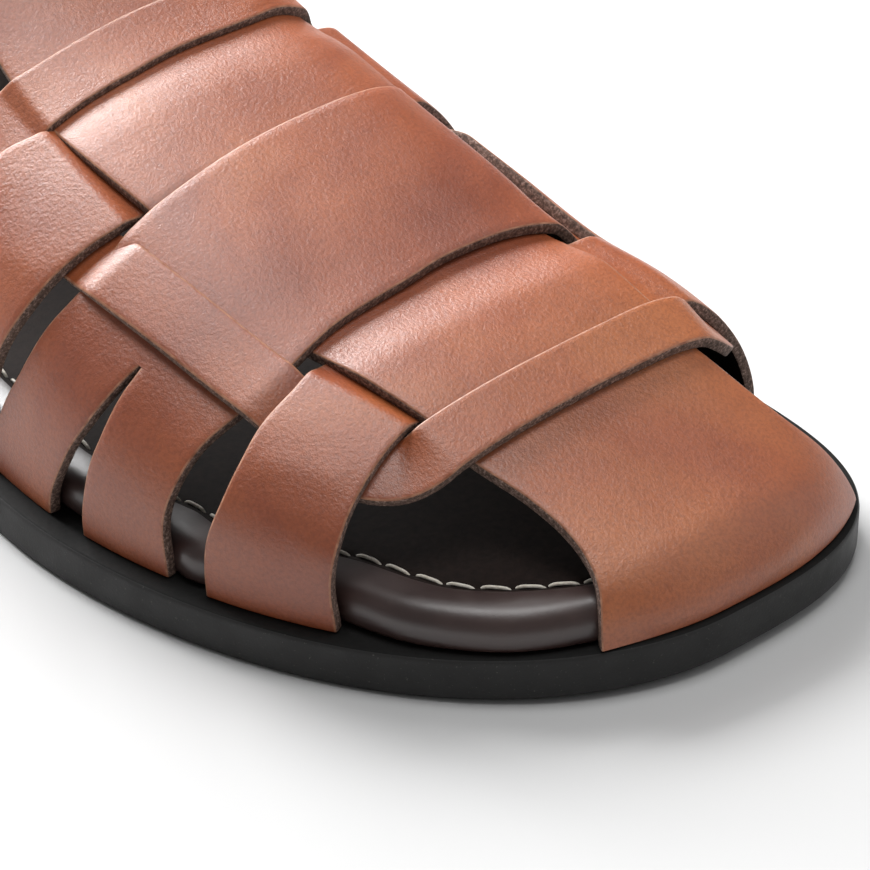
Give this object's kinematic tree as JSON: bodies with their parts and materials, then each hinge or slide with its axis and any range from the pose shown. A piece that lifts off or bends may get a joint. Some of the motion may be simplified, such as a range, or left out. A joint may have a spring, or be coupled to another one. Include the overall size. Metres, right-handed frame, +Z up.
{
  "type": "fisherman sandal",
  "caption": "Right fisherman sandal: leather straps woven over an open toe, closed heel, buckled ankle strap and stitched footbed on a low rubber sole with a small heel.",
  "frame": {"origin": "centre of the shoe's outline on the floor it stands on", "axes": "+X towards the toe, +Y towards the wearer's left, which is the inner side of this right shoe, +Z up"},
  "size_m": [0.3, 0.1105, 0.0965],
  "materials": {
    "tan_leather": "smooth, burnished at the edges",
    "dark_leather": "satin",
    "black_rubber": "matte",
    "brushed_brass": "brushed"
  },
  "bodies": {
    "root": {"outsole": "black_rubber", "heel": "black_rubber", "footbed": "dark_leather", "upper": "tan_leather", "strap_keeper": "tan_leather", "buckle_frame": "brushed_brass", "buckle_prong": "brushed_brass"}
  },
  "joints": []
}
